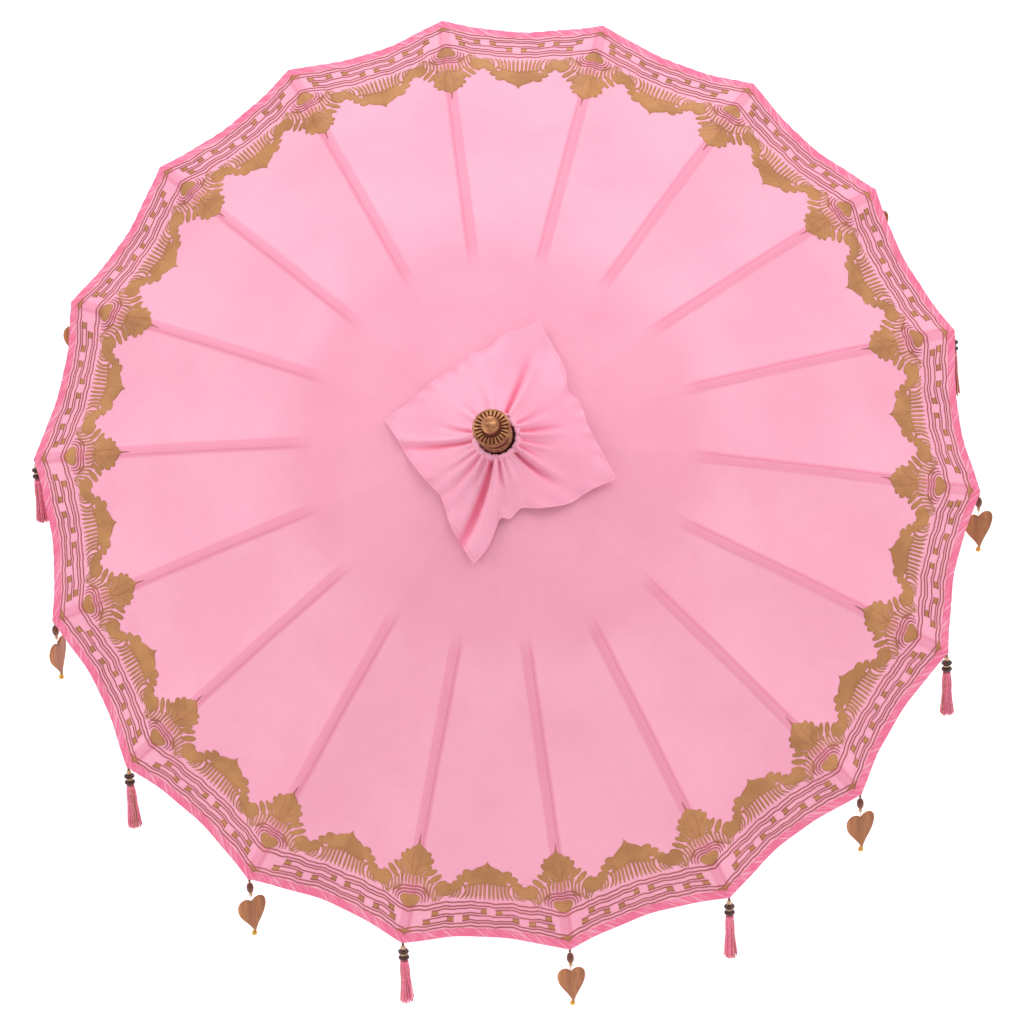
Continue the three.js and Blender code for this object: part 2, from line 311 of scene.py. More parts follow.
def cotton(name, light, deep, hem=None, hem_colour=None, painted_rib_shade=False, crease_shade=False):
    """Printed cotton. UV is metres: across from the rib, and in from the hem. Its colour holds painted shade
    over the ribs, the inner zone and the cap's creases, and painted highlight on the hem's folds.
    """
    m = Nodes(name, roughness=0.88, Sheen_Weight=0.25, Sheen_Roughness=0.45)
    m.shader.inputs["Specular IOR Level"].default_value = 0.25
    uv = m.coordinates("UV")
    height, slub, parts = weave(m, uv)
    cloudy = m.noise(m.place, 5.0, 3.0)
    patchy = m.noise(m.place, 40.0, 4.0)
    colour = m.mottled(cloudy, 0.35, 0.65, light, deep)
    fleck = m.times(m.between(slub, 0.75, 1.3), 0.10)
    colour = m.mixed(fleck, colour, linear(deep, 0.86))
    colour = m.tinted(colour, linear(light, 0.88), patchy, 0.45, 0.7, 0.05)
    across, inset = parts.outputs[0], parts.outputs[1]
    if painted_rib_shade:
        wobble = m.times(m.minus(m.noise(m.place, 9.0, 2.0), 0.5), 0.003)
        from_rib = m.plus(m.maths("ABSOLUTE", across), wobble)
        # painted shade: a darker band over each rib, where the rib keeps back the light that comes through the
        # cloth
        band = m.times(m.between(from_rib, 0.0150, 0.0105), m.between(inset, 0.735, 0.665))
        beside = m.maths("ABSOLUTE", m.minus(m.plus(across, wobble), TAPE_HALF))
        seam = m.between(beside, 0.0030, 0.0004)
        # painted shade over the inner zone, where the second layer of cloth keeps back the light from behind
        inner = m.between(m.plus(inset, m.times(wobble, 30.0)), 0.605, 0.735)
        # shade is the colour of the painted shade on the rib bands and the inner zone
        shade = linear([light[0] * 0.940, light[1] * 0.800, light[2] * 0.850])
        line = linear([light[0] * 0.900, light[1] * 0.680, light[2] * 0.760])
        colour = m.mixed(m.times(band, 0.60), colour, shade)
        colour = m.mixed(m.times(m.times(seam, band), 0.5), colour, line)
        colour = m.mixed(m.times(inner, 0.33), colour, shade)
    if hem:
        fold = m.between(inset, hem + 0.0012, hem - 0.0004)
        # painted highlight: paler slanting streaks along the hem's folds, where light catches their ridges
        slanted = m.noise(m.stretched(m.stretched(uv, (1, 1, 1), (0, 0, 0.75)), (16, 170, 1)), 1.0, 3.0)
        pale = [c + HEM_FOLD_HIGHLIGHT[painted_rib_shade] * (255 - c) for c in hem_colour]
        lit_folds = m.mottled(slanted, 0.46, 0.64, hem_colour, pale)
        colour = m.mixed(m.times(fold, 0.9), colour, lit_folds)
        gap = m.maths("ABSOLUTE", m.minus(inset, hem - 0.003))
        dash = m.between(m.maths("SINE", m.times(across, 2 * pi / 0.0045)), -0.35, -0.1)
        stitch = m.times(m.between(gap, 0.0009, 0.0005), dash)
        colour = m.mixed(m.times(stitch, 0.5), colour, linear(hem_colour, 0.85))
        height = m.minus(height, m.times(stitch, 3.0))
    if crease_shade:
        # painted shade: darker pink down in the cap's creases
        crease_shade_mask = m.between(m.add("Attribute", attribute_name="relief").outputs["Fac"], 0.10, 1.0)
        colour = m.mixed(m.times(crease_shade_mask, 0.62), colour, linear((240, 104, 142)))
    normal = m.bump(height, 0.35, 0.00018)
    normal = m.bump(m.noise(m.place, 60.0, 3.0), 0.12, 0.0012, after=normal)
    m.finish(colour, normal)
    m.see_light_through(colour, SEE_THROUGH)
    return m.material


def painted(name, light, dark, worn, metallic):
    """Brushed-on gold paint, thinner in places so that the cloth shows through."""
    m = Nodes(name, roughness=0.5, Metallic=metallic)
    brush = m.noise(m.place, 90.0, 5.0, 0.65)
    patch = m.noise(m.place, 16.0, 3.0)
    colour = m.mottled(patch, 0.3, 0.7, light, dark)
    colour = m.tinted(colour, linear(dark), brush, 0.52, 0.72, 0.45)
    colour = m.tinted(colour, linear(worn), m.noise(m.place, 300.0, 2.0), 0.62, 0.75, 0.35)
    normal = m.bump(brush, 0.25, 0.0004)
    rough = m.ranged(brush, 0.42, 0.72)
    return m.finish(colour, normal, rough)


def wood(name, light, dark, along, roughness=0.5, coat=0.15, ring=26.0, direction=None):
    """Turned or split wood, with its grain along one axis of the coordinates."""
    m = Nodes(name, roughness=roughness, Coat_Weight=coat, Coat_Roughness=0.3)
    place = m.stretched(m.place, (1, 1, 1), direction) if direction else m.place
    long_way = m.stretched(place, [0.06 if axis == along else 1.0 for axis in range(3)])
    figure = m.noise(long_way, ring, 5.0, 0.6)
    fibre = m.noise(long_way, ring * 14, 3.0, 0.7)
    pore = m.noise(long_way, ring * 34, 2.0)
    colour = m.mottled(figure, 0.36, 0.64, light, dark)
    colour = m.tinted(colour, linear(dark, 0.72), fibre, 0.5, 0.66, 0.45)
    colour = m.tinted(colour, linear(dark, 0.5), pore, 0.62, 0.72, 0.4)
    normal = m.bump(fibre, 0.25, 0.0006)
    normal = m.bump(figure, 0.15, 0.0015, after=normal)
    rough = m.ranged(fibre, roughness - 0.08, roughness + 0.14)
    return m.finish(colour, normal, rough)


def gilded(name):
    """Gold leaf over dark lacquer: bright on what stands out ('relief' near 1), dark in the flutes."""
    m = Nodes(name, roughness=0.34, Metallic=0.75)
    relief = m.add("Attribute", attribute_name="relief").outputs["Fac"]
    rub = m.noise(m.place, 120.0, 5.0, 0.65)
    share = m.between(m.plus(relief, m.times(m.minus(rub, 0.5), 0.7)), 0.30, 0.62)
    gold = m.mottled(m.noise(m.place, 55.0, 3.0), 0.3, 0.7, (200, 146, 98), (152, 94, 64))
    colour = m.mixed(share, linear((100, 46, 34)), gold)
    rough = m.ranged(rub, 0.26, 0.55)
    return m.finish(colour, m.bump(rub, 0.3, 0.0005), rough)


def metal(name, light, dark, rough=0.3):
    m = Nodes(name, roughness=rough, Metallic=1.0)
    tarnish = m.noise(m.place, 260.0, 5.0, 0.6)
    colour = m.mottled(tarnish, 0.4, 0.7, light, dark)
    roughness = m.ranged(tarnish, rough - 0.08, rough + 0.2)
    return m.finish(colour, m.bump(tarnish, 0.15, 0.0003), roughness)


def yarn(name, light, dark):
    m = Nodes(name, roughness=0.82, Sheen_Weight=0.4, Sheen_Roughness=0.4)
    uv = m.coordinates("UV")
    parts = m.add("SeparateXYZ", Vector=uv)
    ply = m.maths("SINE", m.plus(m.times(parts.outputs[1], 2600.0), m.times(parts.outputs[0], 6.283)))
    shade = m.noise(m.place, 200.0, 3.0)
    colour = m.mottled(shade, 0.35, 0.65, light, dark)
    # painted shade: darker in the grooves between the plies
    colour = m.tinted(colour, linear(dark, 0.7), ply, 0.2, -0.8, 0.35)
    return m.finish(colour, m.bump(ply, 0.5, 0.0003))


def glass(name, light, dark):
    m = Nodes(name, roughness=0.25, Coat_Weight=0.5, Coat_Roughness=0.1, Transmission_Weight=0.35)
    swirl = m.noise(m.place, 160.0, 4.0)
    colour = m.mottled(swirl, 0.35, 0.65, light, dark)
    return m.finish(colour, m.bump(m.noise(m.place, 500.0, 2.0), 0.1, 0.0002))


ALONG_POLE = (LEAN - pi, 0, 0)
BEAD_WOOD = {"roughness": 0.42, "coat": 0.12, "ring": 120.0}
MATERIALS = {
    # the canopy's cotton, with painted shade over the ribs and the inner zone
    "canopy_cloth": cotton(
        "pink_cotton", (252, 177, 200), (249, 170, 195), hem=HEM, hem_colour=(238, 108, 146), painted_rib_shade=True),
    "inner_cloth": cotton("inner_cotton", (244, 160, 188), (236, 148, 178)),
    # the cap's cotton, with painted shade in its creases
    "cap_cloth": cotton(
        "bright_pink_cotton", (254, 176, 201), (251, 164, 192), hem=CAP_HEM, hem_colour=(251, 166, 193),
        crease_shade=True),
    "gold_paint": painted("gold_paint", (188, 130, 78), (166, 110, 64), (206, 140, 108), 0.05),
    "outline_paint": painted("brown_outline", (178, 92, 84), (158, 78, 72), (204, 116, 116), 0.0),
    "pole_wood": wood("pole_wood", (142, 92, 56), (98, 58, 34), along=1, direction=ALONG_POLE),
    "hub_wood": wood("hub_wood", (168, 116, 72), (126, 80, 48), along=1, roughness=0.55, direction=ALONG_POLE),
    "rib_wood": wood("rib_wood", (214, 172, 118), (188, 142, 90), along=2, roughness=0.6, coat=0.05),
    "antique_gilt": gilded("antique_gilt"),
    "heart_wood": wood(
        "heart_wood", (190, 122, 70), (146, 86, 46), along=2, roughness=0.42, coat=0.25, ring=60.0),
    "bead_wood": wood("bead_wood", (86, 40, 26), (46, 20, 14), along=0, **BEAD_WOOD),
    "heart_bead": wood("heart_bead_wood", (132, 68, 42), (78, 36, 24), along=0, **BEAD_WOOD),
    "bead_glass": glass("pale_bead", (240, 214, 176), (220, 180, 130)),
    "brass": metal("brass", (226, 178, 92), (172, 120, 50)),
    "iron": metal("iron_wire", (120, 112, 106), (74, 66, 60), rough=0.45),
    "tassel_yarn": yarn("tassel_yarn", (254, 150, 174), (240, 110, 144)),
    "thread": yarn("gold_thread", (196, 150, 96), (150, 106, 62)),
    "pink_thread": yarn("pink_thread", (236, 132, 164), (214, 104, 140)),
}


# ---- Meshes ----

def put(name, data):
    thing = bpy.data.objects.new(name, data)
    bpy.context.scene.collection.objects.link(thing)
    return thing


def make(name, points, faces, material, uv=None, normals=None, smooth=True, relief=None):
    mesh = bpy.data.meshes.new(name)
    mesh.from_pydata([tuple(p) for p in np.asarray(points, float)], [], [tuple(map(int, f)) for f in faces])
    materials = material if isinstance(material, (list, tuple)) else [material]
    for key in materials:
        mesh.materials.append(MATERIALS[key])
    if uv is not None:
        layer = mesh.uv_layers.new(name="cut")
        loops = np.empty(len(mesh.loops), int)
        mesh.loops.foreach_get("vertex_index", loops)
        layer.data.foreach_set("uv", np.asarray(uv, float)[loops].ravel())
    mesh.polygons.foreach_set("use_smooth", [smooth] * len(mesh.polygons))
    if relief is not None:
        values = mesh.attributes.new("relief", "FLOAT", "POINT").data
        values.foreach_set("value", np.asarray(relief, np.float32))
    if normals is not None:
        mesh.normals_split_custom_set_from_vertices([tuple(n) for n in normals])
    thing = put(name, mesh)
    return thing


def grid_faces(rows, columns, closed=False, start=0, flip=False):
    faces = []
    for r in range(rows - 1):
        for c in range(columns if closed else columns - 1):
            d, here, there = (c + 1) % columns, start + r * columns, start + (r + 1) * columns
            quad = (here + c, here + d, there + d, there + c)
            faces.append(quad[::-1] if flip else quad)
    return faces


def thick_sheet(
        name, outer, normals, rows, columns, thickness, material, uv, closed=False, outward=False,
        relief=None):
    """A sheet of cloth with two faces and a rim, from a grid of points on its outer face, in the parasol's own
    frame. outward says that the rows run away from the pole."""
    outer, normals = to_world(outer), normals @ BASIS
    thickness = np.broadcast_to(thickness, len(outer))[:, None]
    count = len(outer)
    points = np.concatenate([outer, outer - normals * thickness])
    faces = grid_faces(rows, columns, closed) + grid_faces(rows, columns, closed, start=count, flip=True)
    last = (rows - 1) * columns
    for c in range(columns if closed else columns - 1):
        d = (c + 1) % columns
        faces.append((d, c, count + c, count + d))
        faces.append((last + c, last + d, count + last + d, count + last + c))
    if not closed:
        for r in range(rows - 1):
            a, b = r * columns, (r + 1) * columns
            faces.append((a, b, count + b, count + a))
            faces.append((b + columns - 1, a + columns - 1, count + a + columns - 1, count + b + columns - 1))
    if outward:
        faces = [face[::-1] for face in faces]
    if relief is not None:
        relief = np.concatenate([relief, 0 * relief])
    uv, normals = np.concatenate([uv, uv]), np.concatenate([normals, -normals])
    return make(name, points, faces, material, uv=uv, normals=normals, relief=relief)


def capped(rows, columns):
    """Faces of a closed grid, with a flat cap at either end."""
    last = (rows - 1) * columns
    ends = [tuple(range(columns))[::-1], tuple(range(last, last + columns))]
    return grid_faces(rows, columns, closed=True) + ends


def lathe(profile, segments):
    """Points and faces of a turned shape about Z, closed at both ends."""
    turns = np.arange(segments) * 2 * pi / segments
    return np.concatenate([polar(radius, turns, z) for radius, z in profile]), capped(len(profile), segments)


def spline(p0, p1, p2, p3, per):
    """Catmull-Rom points from p1 up to p2."""
    bend, twist = 2 * p0 - 5 * p1 + 4 * p2 - p3, 3 * p1 - p0 - 3 * p2 + p3
    return [0.5 * (2 * p1 + (p2 - p0) * t + bend * t * t + twist * t ** 3) for t in np.arange(per) / per]


def smooth_profile(points, per=4):
    """A smooth curve through points, open at its ends."""
    points = np.asarray(points, float)
    padded = np.vstack([2 * points[0] - points[1], points, 2 * points[-1] - points[-2]])
    out = []
    for k in range(1, len(padded) - 2):
        out += spline(*padded[k - 1:k + 3], per)
    return np.array(out + [points[-1]])


def tube(path, radii, sides=6):
    """Points, faces and UVs of a tube round a path, closed at both ends."""
    path = np.asarray(path, float)
    radii = np.broadcast_to(radii, len(path))
    along = np.gradient(path, axis=0)
    along /= np.linalg.norm(along, axis=1, keepdims=True)
    up = np.array([0.0, 0, 1]) if abs(along[0][2]) < 0.8 else np.array([1.0, 0, 0])
    points, uv = [], []
    done = 0.0
    for n, (centre, way) in enumerate(zip(path, along)):
        up = up - way * (up @ way)
        up /= np.linalg.norm(up)
        other = np.cross(way, up)
        if n:
            done += np.linalg.norm(path[n] - path[n - 1])
        for k in range(sides):
            turn = 2 * pi * k / sides
            points.append(centre + radii[n] * (cos(turn) * up + sin(turn) * other))
            uv.append((k / sides, done))
    return np.array(points), capped(len(path), sides), np.array(uv)


def together(parts):
    """Joins (points, faces, ...) groups into one; uv comes third where a group has it."""
    points, faces, uv = [], [], []
    done = 0
    for part in parts:
        points.append(part[0])
        faces += [tuple(done + v for v in face) for face in part[1]]
        uv.append(part[2] if len(part) > 2 else np.zeros((len(part[0]), 2)))
        done += len(part[0])
    return np.concatenate(points), faces, np.concatenate(uv)


# ---- The camera ----

def add_camera():
    camera = put("camera", bpy.data.cameras.new("camera"))
    camera.data.lens = 110
    camera.location = (0.159, -7.683, 3.616)
    camera.rotation_euler = (radians(65.99), radians(3.05), radians(0.03))
    camera.data.clip_end = 100
    bpy.context.scene.camera = camera


# ---- Cloth of the canopy ----

def hold_to_rib(thing, i):
    """The piece turns with rib i."""
    anchor = to_world(polar(HINGE_RADIUS, rib_turn(i), 0))[0]
    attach(thing, f"rib_{label(i)}")
    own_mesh(thing)


def canopy_insets():
    hem = np.linspace(0, 0.040, 9)
    border = np.linspace(0.040, 0.27, 24)[1:]
    return np.concatenate([hem, border, np.linspace(0.27, RIB_ARC - 0.012, 36)[1:]])


def rib_cloth(i, name, insets, below, material, columns=49):
    spread = np.linspace(-1, 1, columns)
    spread = np.sort(np.concatenate([spread, (-0.066, 0.066, -0.05, 0.05)]))
    turn, inset = np.meshgrid(rib_turn(i) + spread * HALF_PANEL, insets)
    turn, inset = turn.ravel(), inset.ravel()
    outer = canopy_point(turn, inset) - canopy_normal(turn, inset) * below
    normals = canopy_normal(turn, inset)
    radius = np.linalg.norm(outer[:, :2], axis=1)
    uv = np.stack([radius * np.sin(turn - rib_turn(i)), inset], -1)
    thickness = CLOTH + 0.0008 * soft_step((0.026 - inset) / 0.003) if below == 0 else CLOTH
    thing = thick_sheet(name, outer, normals, len(insets), len(spread), thickness, material, uv)
    hold_to_rib(thing, i)
    return thing


def add_canopy():
    insets = canopy_insets()
    inner = np.linspace(INNER_ZONE, RIB_ARC - 0.020, 14)
    for i in range(RIBS):
        outer = rib_cloth(i, f"canopy_{label(i)}", insets, 0.0, "canopy_cloth")
        paint = add_border(i)
        lining = rib_cloth(i, f"inner_cloth_{label(i)}", inner, 0.0022, "inner_cloth", columns=17)
        if i == 0:
            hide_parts("canopy")
    add_crown_cloth()


def add_crown_cloth():
    """A disc of cloth over the crown, where the eighteen panels end."""
    radii = np.array([0.0235, 0.030, 0.038, 0.046, 0.054, 0.060, 0.066])
    heights = np.array([0.0185, 0.0188, 0.0190, 0.0190, 0.0186, 0.0176, 0.0160])
    turns = np.linspace(0, 2 * pi, 73)[:-1]
    turn, radius = np.meshgrid(turns, radii)
    height = np.interp(radius, radii, heights) + 0.0005 * np.sin(36 * turn) * (radius - 0.02) / 0.05
    points = polar(radius.ravel(), turn.ravel(), height.ravel())
    normals = np.tile((0, 0, 1.0), (len(points), 1))
    uv = np.stack([radius.ravel() * np.cos(turn.ravel()), 0.2 + radius.ravel() * np.sin(turn.ravel())], -1)
    disc = thick_sheet(
        "crown_cloth", points, normals, len(radii), len(turns), CLOTH, "inner_cloth", uv, closed=True,
        outward=True)
    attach(disc, "root")


# ---- The painted border, drawn in millimetres: x across from a rib or from mid-panel, v in from the hem --

def half_width(v):
    """Half a panel's width, in millimetres, v millimetres in from the hem."""
    return 173.6 - 0.144 * v


def blob(centre, size, turn=0.0, point=0.0, count=20):
    """An oval, drawn out to a point at its far end by point."""
    out = []
    for k in range(count):
        t = 2 * pi * k / count
        x, y = size[0] / 2 * cos(t), size[1] / 2 * sin(t)
        y *= 1 - point * max(0.0, cos(t)) ** 2
        out.append((centre[0] + x * cos(turn) - y * sin(turn), centre[1] + x * sin(turn) + y * cos(turn)))
    return out


def closed_curve(points):
    """A smooth closed curve through points, sharp where a point is repeated."""
    points = np.asarray(points, float)
    out = []
    for k in range(len(points)):
        near = [points[(k + n) % len(points)] for n in (-1, 0, 1, 2)]
        if not np.allclose(near[1], near[2]):
            out += spline(*near, 4)
    return [tuple(p) for p in out]


def mirrored(points):
    return [(-x, v) for x, v in reversed(points)]


def leaf_shapes():
    """The leaf over a rib, its side lobes, the eye under it and the comma blobs beside it."""
    top = [
        (0, 256), (0, 256), (1.2, 249), (5, 241), (12, 234), (17, 225), (17, 214), (12, 205), (9, 198),
        (0, 190)]
    shapes = [closed_curve(top + mirrored(top[2:-1]))]
    body = [(0, 214), (12, 208), (16, 199), (20, 189), (24, 181), (20, 174), (12, 170), (0, 169)]
    shapes.append(closed_curve(body + mirrored(body[1:-1])))
    lobes = (  # place, length, width, direction in degrees and how pointed
        (16, 214, 25, 19, 40, 0.0), (21, 200, 29, 20, 22, 0.0), (22, 186, 25, 16, 4, 0.0),
        (33, 174, 29, 14, 30, 0.0), (45, 159, 29, 15, 42, 0.0), (70, 129, 44, 34, -12, -0.1),
        (57, 143, 26, 18, 34, 0.0))
    for side in (-1, 1):
        for x, v, length, width, turn, point in lobes:
            turn = turn if side > 0 else 180 - turn
            shapes.append(blob((side * x, v), (length, width), radians(turn), point))
    shapes.append(blob((0, 109), (41, 31)))
    wedge = [(0, 37), (0, 37), (7, 32), (14, 30), (9, 26), (0, 21), (0, 21)]
    shapes.append(closed_curve(wedge + mirrored(wedge[2:-2])))
    return shapes


def ogee_shapes(side):
    """Half of the motif in mid-panel, on one side of the rib; the next piece has the other half."""
    body = [
        (0, 206), (1.4, 201), (6, 194), (14, 189), (24, 184), (32, 176), (36, 166), (38, 156), (41, 147),
        (38, 141), (26, 142), (13, 145), (0, 146)]
    shapes = [[tuple(p) for p in smooth_profile(body, 3)]]
    lobes = ((39, 170, 27, 20, 36), (51, 158, 27, 18, 22), (61, 145, 25, 15, 10), (67, 133, 28, 14, -6))
    for x, v, length, width, turn in lobes:
        shapes.append(blob((x, v), (length, width), radians(turn)))
    return [[(side * (half_width(v) - x), v) for x, v in shape] for shape in shapes]


PAINT, PAINT_LIFT = 0.00025, 0.0005  # its thickness, and its face's height above the cloth's
BAR_ROWS = (  # heights above the hem, and where each bar begins and ends across a panel
    (44.0, 58.5, ((0.10, 0.29), (0.345, 0.71), (0.77, 0.93))),
    (63.0, 78.0, ((0.15, 0.505), (0.557, 0.915))),
)


def rib_dip(share, depth, width=0.16):
    return -depth * exp(-(share / width) ** 2)


def brush_wave(share):
    """The slow stepping of the brush that all the lines of the border share, in millimetres."""
    fade = min(1.0, 12 * (1 - abs(share))) * (1 - exp(-(share / 0.06) ** 2))
    return fade * (1.5 * sin(17 * share + 0.8) + 0.7 * sin(39 * share + 2))


def bar_ends(side):
    """Solid blocks at the ends of the bars on one half of the piece, as shapes."""
    shapes = []
    for low, high, bars in BAR_ROWS:
        for start, end in bars:
            for a, b in ((start, start + 0.044), (end - 0.044, end)):
                if (side > 0 and b <= 0.512) or (side < 0 and a >= 0.488):
                    edge = []
                    for share, v in ((a, low), (b, low + 0.8), (b - 0.003, high - 0.5), (a + 0.004, high)):
                        place = side * min(1.0, 2 * share if side > 0 else 2 * (1 - share))
                        edge.append((place * half_width(v), v + brush_wave(place)))
                    shapes.append(edge if side > 0 else edge[::-1])
    return shapes


def fill_shapes():
    shapes = leaf_shapes()
    for side in (-1, 1):
        shapes += ogee_shapes(side) + bar_ends(side)
    return shapes


def border_strokes():
    """Brush strokes: points in millimetres, width at the start, end and middle, 0 for gold or 1 for brown."""
    strokes = []
    for v, dip, width in ((29.0, 3.0, 3.5), (38.5, 2.0, 3.1), (84.5, 1.0, 3.2), (94.5, 2.0, 3.1)):
        line = []
        for share in np.linspace(-1, 1, 121):
            height = v + rib_dip(share, dip, 0.11 if v < 50 else 0.15) + brush_wave(share)
            line.append((share * half_width(height), height))
        strokes.append((line, width, width, width, 1))
    for low, high, bars in BAR_ROWS:
        for start, end in bars:
            for side in (-1, 1):
                a, b = (start, min(end, 0.5)) if side > 0 else (max(start, 0.5), end)
                if b - a < 0.02:
                    continue
                for v in (low + 1.0, high - 1.0):
                    line = []
                    for share in np.linspace(a, b, max(6, int(90 * (b - a)))):
                        place = side * (2 * share if side > 0 else 2 * (1 - share))
                        height = v + brush_wave(place)
                        line.append((place * half_width(height), height))
                    strokes.append((line, 2.9, 2.9, 2.9, 1))
    return strokes + leaf_strokes() + ogee_strokes()


def bowed(start, end, bow, count=9):
    """A stroke that bends to one side by bow."""
    (x0, v0), (x1, v1) = start, end
    dx, dv = x1 - x0, v1 - v0
    out = []
    for t in np.linspace(0, 1, count):
        side = 4 * t * (1 - t) * bow / hypot(dx, dv)
        out.append((x0 + dx * t + side * dv, v0 + dv * t - side * dx))
    return out


def leaf_strokes():
    strokes = []
    for k in range(-3, 4):  # the comb under the leaf
        top, bottom = (k * 6.2, 177 - 0.8 * k * k), (k * 8.0, 147 - 1.2 * abs(k))
        strokes.append((bowed(top, bottom, -0.6 * k), 5.8, 1.4, 4.0, 0))
    for side in (-1, 1):
        for k in range(5):  # curled strokes either side of the eye
            x, v = 27 + 6.4 * k, 163 - 8.2 * k
            foot = (side * (x + 3 - 1.2 * k), v - 42 + 3.4 * k)
            strokes.append((bowed((side * x, v), foot, side * (5.5 - k)), 5.2, 1.3, 3.8, 0))
        for k in range(3):
            head, foot = (side * (56 + 6.2 * k), 118 - 2 * k), (side * (46 + 6.2 * k), 101 - 0.6 * k)
            strokes.append((bowed(head, foot, side * 2), 3.6, 1.0, 2.8, 0))
    for k, (reach, top) in enumerate(((25.5, 129), (31, 136), (37, 143))):  # arcs over the eye
        ends = 0.30 - 0.1 * k
        arc = [(reach * cos(t), 107 + (top - 107) * sin(t)) for t in np.linspace(-ends, pi + ends, 25)]
        strokes.append((arc, 1.6, 1.6, 3.0, 1))
    for side in (-1, 1):  # veins of the leaf
        strokes.append((bowed((side * 1.5, 174), (side * 8, 226), side * 3), 0.5, 0.3, 0.7, 1))
        strokes.append((bowed((side * 2, 178), (side * 24, 200), side * -3), 0.5, 0.3, 0.7, 1))
    strokes.append(([(0, 246), (0.3, 256), (0.8, 268)], 2.6, 0.5, 1.8, 1))
    return strokes


def ogee_strokes():
    strokes = []
    for side in (-1, 1):
        for k in range(6):
            x = 4.4 + 8.6 * k
            top, bottom = (x, 149 - 0.14 * k * k - 0.7 * k), (x * 1.08 + 0.2 * k * k, 103 + 0.2 * k)
            line = [(side * (half_width(v) - px), v) for px, v in bowed(top, bottom, 0.28 * k * k - 0.4)]
            strokes.append((line, 7.6, 1.6, 4.9, 0))
        for k in range(3):
            top, bottom = (57 + 6.6 * k, 130 - 2.8 * k), (65 + 7.6 * k, 105 + 0.6 * k)
            line = [(side * (half_width(v) - px), v) for px, v in bowed(top, bottom, 3.6)]
            strokes.append((line, 5.4, 1.3, 3.8, 0))
    return strokes


def triangulated(shapes, spacing=8.0):
    """One flat triangle mesh that covers every shape once, fine enough for the cloth's curve."""
    crease = np.arange(14, 260, 4.0)
    points, faces = [Vector((0, v)) for v in crease], []
    edges = [(k, k + 1) for k in range(len(crease) - 1)]
    for shape in shapes:
        start = len(points)
        points += [Vector(p) for p in shape]
        faces.append(list(range(start, len(points))))
    xs = np.arange(-174, 174.1, spacing)
    for row, v in enumerate(np.arange(20, 256, spacing * 0.87)):
        points += [Vector((x + (row % 2) * spacing / 2 + 0.013, v)) for x in xs if abs(x) > 3]
    verts, _, tris, *_ = delaunay_2d_cdt(points, edges, faces, 1, 1e-4)
    used = sorted({v for tri in tris for v in tri})
    index = {v: n for n, v in enumerate(used)}
    flat = np.array([(verts[v].x, verts[v].y) for v in used])
    faces = []
    for tri in tris:
        a, b, c = (flat[index[v]] for v in tri)
        area = (b[0] - a[0]) * (c[1] - a[1]) - (b[1] - a[1]) * (c[0] - a[0])
        ids = [index[v] for v in tri]
        faces.append(ids if area > 0 else ids[::-1])
    return flat, faces


def ribbon(points, first, last, middle):
    """A flat ribbon along points, in millimetres."""
    points = np.asarray(points, float)
    along = np.gradient(points, axis=0)
    length = np.linalg.norm(along, axis=1, keepdims=True)
    along = along / np.maximum(length, 1e-9)
    across = np.stack([-along[:, 1], along[:, 0]], -1)
    t = np.linspace(0, 1, len(points))
    width = np.interp(t, (0, 0.25, 0.75, 1), (first, middle, middle, last))[:, None] / 2
    both = np.stack([points + across * width, points - across * width], 1).reshape(-1, 2)
    count = len(points)
    faces = []
    for k in range(count - 1):
        faces.append((2 * k, 2 * k + 1, 2 * k + 3, 2 * k + 2))
    return both, faces


def flat_border():
    """The whole border of one piece: flat points, faces, material numbers and heights above the cloth."""
    fill, fill_faces = triangulated(fill_shapes())
    points, lifts = [fill], [np.full(len(fill), PAINT_LIFT)]
    faces, kinds = list(fill_faces), [0] * len(fill_faces)
    done = len(fill)
    pieces = [(ribbon(*stroke[:4]), stroke[4]) for stroke in border_strokes()]
    for n, ((both, quads), kind) in enumerate(pieces):
        points.append(both)
        lifts.append(np.full(len(both), PAINT_LIFT + 0.00005 + 0.00018 * kind + 0.00001 * (n % 7)))
        faces += [tuple(done + v for v in quad) for quad in quads]
        kinds += [kind] * len(quads)
        done += len(both)
    return np.concatenate(points), faces, kinds, np.concatenate(lifts)


BORDER = flat_border()
TALLER = [rng.uniform(-1, 1) for _ in range(2 * RIBS)]  # no two hand-painted motifs are the same height


def add_border(i):
    flat, faces, kinds, lifts = BORDER
    x, v = flat[:, 0], flat[:, 1]
    share = np.clip(x / half_width(v), -1, 1)
    turn = rib_turn(i) + share * HALF_PANEL
    panel = np.where(share > 0, TALLER[RIBS + i], TALLER[RIBS + (i + 1) % RIBS])
    stretch = 0.055 * (TALLER[i] * (1 - share ** 2) + panel * share ** 2)
    v = v + np.maximum(v - 98, 0) * stretch + 1.1 * np.sin(31 * turn + 0.05 * v) + 0.6 * np.sin(87 * turn + 2)
    turn = turn + 0.0011 * np.sin(0.07 * v + 3 * i) * (1 - share ** 2)
    inset = v / 1000
    points = canopy_point(turn, inset) + canopy_normal(turn, inset) * lifts[:, None]
    paint = make(f"painted_border_{label(i)}", to_world(points), faces, ["gold_paint", "outline_paint"])
    paint.data.polygons.foreach_set("material_index", kinds)
    solid = paint.modifiers.new("thickness", "SOLIDIFY")
    solid.thickness = PAINT
    solid.offset = -1
    hold_to_rib(paint, i)
    return paint


# ---- The square top cap and its collar ----

CAP_HALF = 0.1725
CAP_CORNER = radians(72.7)
COLLAR = 0.046
CAP_LOFT, CAP_GAP = 0.0165, 0.0035  # the cap's height over the canopy, and the least of it
COLLAR_CLOTH = 0.0014
EDGE_NOTCHES = (  # direction in degrees, half width and depth in metres of each hollow in the cap's edge
    (284, 17, 0.036), (269, 5.5, 0.032), (316, 7, -0.006), (34, 7, 0.011), (221, 14, 0.015), (95, 5, 0.007),
    (84, 5, -0.005), (4, 10, 0.003))


def from_corner(turn):
    """The angle from the cap's nearest corner."""
    return (turn - CAP_CORNER + pi / 4) % (pi / 2) - pi / 4


